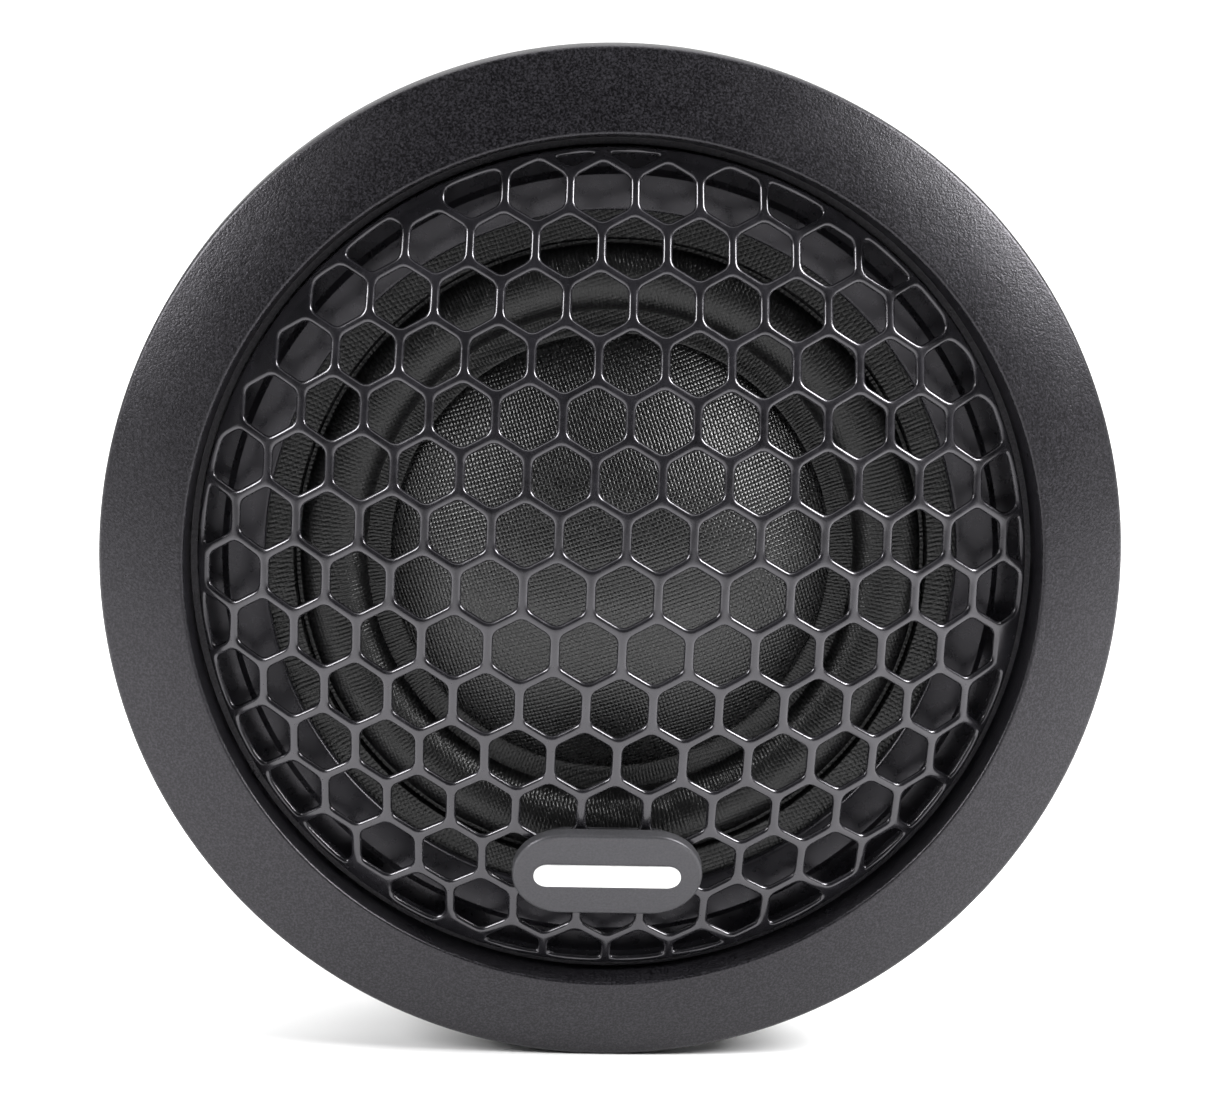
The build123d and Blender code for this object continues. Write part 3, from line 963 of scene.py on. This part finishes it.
def cover_piece(material):
    """The rear cover: a dished shell with a shallow groove round its middle."""
    top, back = front("rear_cover"), rear("rear_cover")
    seat = top - cover_sheet
    groove_inner, groove_outer = cover_groove
    groove_top = back + cover_groove_depth
    outline = [(0, back + cover_sheet)]
    outline += rounded(
        [
            (cover_bore, back + cover_sheet, 0.3),
            (cover_bore, top, 0),
            (cover_radius, top, 0.15),
            (cover_radius, seat, 0.4),
            (chamber_radius + 0.4, seat, 0.3),
            (chamber_radius - 0.1, back, 0.5),
            (groove_outer, back, 0.1),
            (groove_outer - 0.3, groove_top, 0.1),
            (groove_inner + 0.3, groove_top, 0.1),
            (groove_inner, back, 0.1),
        ]
    )
    outline += [(0, back)]
    return add_piece("back_shell", *lathe(outline), material, "housing", "moulded_black", ["rear_cover"])


# ---------------------------------------------------------------- carried-over CAD nodes


def finish_node(node, material):
    """Gives a carried-over CAD node its material."""
    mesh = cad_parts[node].data
    mesh.materials.clear()
    mesh.materials.append(material)


def finish_nodes():
    """A material for every CAD node that is shown as it is."""
    steel = metal("zinc_steel", (0.42, 0.42, 0.43), (0.62, 0.62, 0.63), 0.25, 0.42, stretch=(1, 4, 1))
    brushed, wound = (1, 0.12, 1), (1, 30, 1)
    tin = metal("tinned_blade", (0.34, 0.335, 0.32), (0.5, 0.49, 0.47), 0.28, 0.42, brushed, 0.2)
    brass = metal("brass_rivet", (0.55, 0.4, 0.18), (0.78, 0.6, 0.3), 0.25, 0.4)
    copper = metal("copper_sheet", (0.62, 0.26, 0.14), (0.85, 0.42, 0.26), 0.25, 0.4)
    winding = metal("copper_winding", (0.4, 0.14, 0.05), (0.7, 0.32, 0.16), 0.3, 0.45, wound, 0.9)
    foil = metal("former_foil", (0.55, 0.55, 0.56), (0.75, 0.75, 0.76), 0.2, 0.35)
    nickel = metal("nickel_plate", (0.5, 0.49, 0.46), (0.7, 0.68, 0.64), 0.12, 0.22)
    oxide = black_oxide()
    board = phenolic()
    finishes = {
        "badge_plate": badge_black(),
        "badge_inlay": badge_white(),
        "diaphragm_ring": nylon("support_nylon", 1.2),
        "coil_former": foil,
        "voice_coil": winding,
        "dome_felt": fibre_pad("pole_felt", (0.1, 0.1, 0.1), (0.26, 0.26, 0.26), 0.3),
        "copper_cap": copper,
        "pole_plate": steel,
        "magnet": nickel,
        "yoke_cup": steel,
        "trim_screws": oxide,
        "cover_screws": oxide,
        "cover_seal": rubber(),
        "chamber_wool": fibre_pad("damping_wool", (0.5, 0.48, 0.43), (0.85, 0.83, 0.78), 0.5),
        "terminal_board": board,
        "terminal_positive": tin,
        "terminal_negative": tin,
        "terminal_rivets": brass,
        "lead_wire_positive": copper,
        "lead_wire_negative": copper,
    }
    for node, material in finishes.items():
        finish_node(node, material)


# ---------------------------------------------------------------- stage, light and camera


def make_floor():
    """A pale paper floor, with painted shade far in front of the tweeter."""
    mesh = bpy.data.meshes.new("floor")
    half = floor_half
    height = -flange_radius * MM
    corners = [(-half, -half, height), (half, -half, height), (half, half, height), (-half, half, height)]
    mesh.from_pydata(corners, [], [(0, 1, 2, 3)])
    floor = bpy.data.objects.new("floor", mesh)
    bpy.context.scene.collection.objects.link(floor)
    shader = Shader("floor_paper_painted_shade", (0.9, 0.9, 0.9), 0.8)
    split = shader.nodes.new("ShaderNodeSeparateXYZ")
    shader.link(shader.place, split.inputs[0])
    grain = shader.span(shader.noise(60), 0.3, 0.7, 0.99, 1.01)
    depth = shader.math("ADD", split.outputs["Y"], grain)
    painted_shade, pale = (floor_painted_shade_tone,) * 3, (floor_tone,) * 3
    # Painted shade: the paper is painted darker far in front of the tweeter, standing in for shade there
    shader.colour(depth, floor_painted_shade_deepest_at + 1, floor_painted_shade_from + 1, painted_shade, pale)
    mesh.materials.append(shader.material)


def make_world():
    """A studio that is brightest overhead and behind the tweeter, pale low down at both sides, and
    dark in front and above. The camera sees it as white."""
    world = bpy.data.worlds.new("studio")
    world.use_nodes = True
    bpy.context.scene.world = world
    nodes, links = world.node_tree.nodes, world.node_tree.links
    background = nodes["Background"]
    background.inputs["Color"].default_value = (1, 1, 1, 1)
    split = nodes.new("ShaderNodeSeparateXYZ")
    links.new(nodes.new("ShaderNodeTexCoord").outputs["Generated"], split.inputs[0])

    def span(source, low, high, to_low, to_high):
        node = nodes.new("ShaderNodeMapRange")
        links.new(source, node.inputs[0])
        for socket, value in zip(node.inputs[1:5], (low, high, to_low, to_high)):
            socket.default_value = value
        return node.outputs[0]

    def combine(operation, one, other=None):
        node = nodes.new("ShaderNodeMath")
        node.operation = operation
        links.new(one, node.inputs[0])
        if other is not None:
            links.new(other, node.inputs[1])
        return node.outputs[0]

    x, y, z = split.outputs
    overhead = combine("MULTIPLY", span(z, 0.5, 0.8, 0, zenith_level), span(y, -0.35, 0, 0, 1))
    behind = span(y, -0.05, 0.3, front_level, back_level)
    aside = span(combine("ABSOLUTE", x), 0.5, 0.95, 0, side_level)
    aside = combine("MULTIPLY", aside, span(z, 0, 0.4, 1, 0))
    level = combine("ADD", combine("ADD", overhead, behind), aside)
    path = nodes.new("ShaderNodeLightPath")
    seen = nodes.new("ShaderNodeMapRange")
    seen.inputs[4].default_value = 1.0
    links.new(level, seen.inputs[3])
    links.new(path.outputs["Is Camera Ray"], seen.inputs[0])
    links.new(seen.outputs[0], background.inputs["Strength"])


def add_softbox(name, direction, width, height, radiance):
    """A softbox in a direction from the tweeter, in the tweeter's axes, facing it."""
    light = bpy.data.lights.new(name, "AREA")
    light.shape = "RECTANGLE"
    light.size, light.size_y = width, height
    light.energy = radiance * math.pi * width * height
    lamp = bpy.data.objects.new(name, light)
    bpy.context.scene.collection.objects.link(lamp)
    way = Vector((direction[0], -direction[2], direction[1])).normalized()
    lamp.location = way * softbox_distance
    lamp.rotation_euler = way.to_track_quat("Z", "Y").to_euler()


def make_lights():
    for name, (direction, width, height, radiance) in softboxes.items():
        add_softbox(name, direction, width, height, radiance)


def make_camera():
    """A camera with a long lens, a little above the axis and to its left."""
    side, above, roll = camera_side, camera_above, camera_roll
    back = Vector((math.sin(side), math.sin(above) * math.cos(side), math.cos(above) * math.cos(side)))
    level = Vector((0, 1, 0)).cross(back).normalized()
    upright = back.cross(level)
    right = math.cos(roll) * level - math.sin(roll) * upright
    up = math.sin(roll) * level + math.cos(roll) * upright
    centre = Vector((0, 0, rim_height))
    eye = centre + back * camera_distance - right * aim_shift[0] - up * aim_shift[1]
    turn = Matrix(((1, 0, 0), (0, 0, -1), (0, 1, 0)))
    axes = Matrix((turn @ right, turn @ up, turn @ back)).transposed()
    data = bpy.data.cameras.new("camera")
    data.sensor_width = 36.0
    data.lens = lens
    data.clip_start = 0.01
    data.clip_end = 20.0
    camera = bpy.data.objects.new("camera", data)
    bpy.context.scene.collection.objects.link(camera)
    camera.matrix_world = Matrix.Translation(turn @ eye * MM) @ axes.to_4x4()
    bpy.context.scene.camera = camera


plastic = nylon()
trim_ring_piece(satin_ring())
grille_piece(mesh_paint())
face_plate_piece(face_gloss())
dome_piece(coated_silk())
surround_piece(surround_cloth())
chassis_piece(plastic)
nut_piece(nylon("nut_nylon", 1.15))
washer_piece(nylon("washer_nylon", 1.6))
gasket_piece(foam())
cover_piece(plastic)
finish_nodes()
make_floor()
make_world()
make_lights()
make_camera()
bpy.context.scene.view_settings.view_transform = "Standard"
